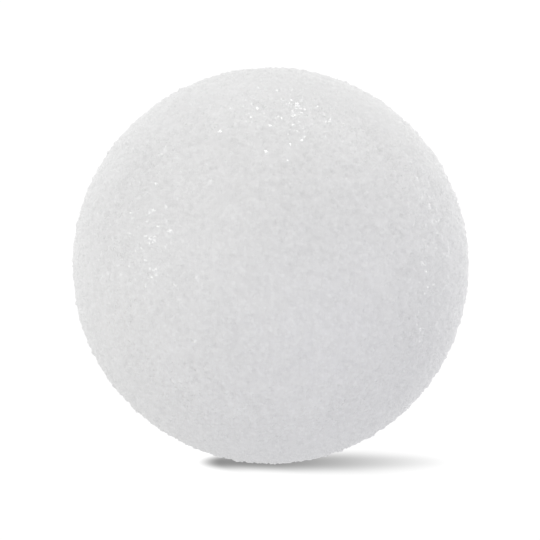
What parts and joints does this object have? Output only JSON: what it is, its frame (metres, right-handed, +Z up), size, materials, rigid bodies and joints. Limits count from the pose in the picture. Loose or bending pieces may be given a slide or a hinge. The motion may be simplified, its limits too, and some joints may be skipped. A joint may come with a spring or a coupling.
{
  "type": "polystyrene ball",
  "caption": "Solid craft ball of white extruded polystyrene foam, ground round, with a fine skin of cut-open cells; it has no flat, hole or seam.",
  "frame": {"origin": "centre of the ball", "axes": "+Z up, as the ball lies in the picture; a ball has no other direction, so +X is to the picture's right and +Y away from its camera"},
  "size_m": [0.0457, 0.0456, 0.0457],
  "materials": {
    "foam": "white, matt, ground open-cell foam with small glints"
  },
  "bodies": {
    "root": {"foam_ball": "foam"}
  },
  "joints": []
}
